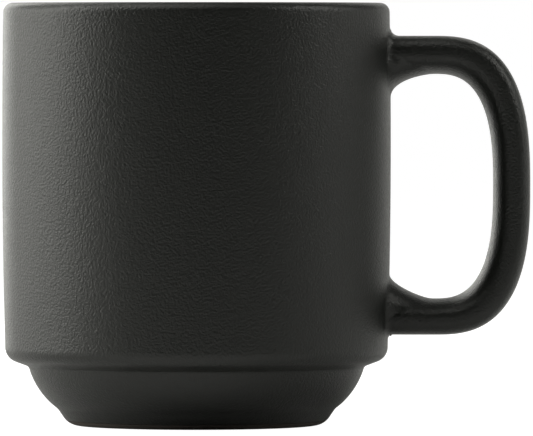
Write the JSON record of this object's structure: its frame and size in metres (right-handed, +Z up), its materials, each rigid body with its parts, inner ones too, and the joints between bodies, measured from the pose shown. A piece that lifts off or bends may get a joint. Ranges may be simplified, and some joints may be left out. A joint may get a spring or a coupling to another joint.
{
  "type": "mug",
  "caption": "Matte black stoneware stacking mug: slightly barrelled cup, stepped base on a small dry foot, D-shaped side handle.",
  "frame": {"origin": "centre of the flat dry base, on the cup's axis, in the plane of the table", "axes": "+Z up along the cup's axis, +X towards the handle, +Y across the mug"},
  "size_m": [0.1154, 0.085, 0.0923],
  "materials": {
    "body_stoneware": "dry fired clay, unglazed and slightly rough",
    "handle_stoneware": "dry fired clay, unglazed and slightly rough",
    "joining_slip": "fired clay slip, dry and slightly rough",
    "matte_black_glaze": "matte black glaze with a fine sandy grain",
    "satin_liner_glaze": "satin black liner glaze, smoother than the outside"
  },
  "bodies": {
    "root": {"cup_body": "body_stoneware", "handle": "handle_stoneware", "upper_slip_joint": "joining_slip", "lower_slip_joint": "joining_slip", "outer_glaze": "matte_black_glaze", "handle_glaze": "matte_black_glaze", "liner_glaze": "satin_liner_glaze"}
  },
  "joints": []
}
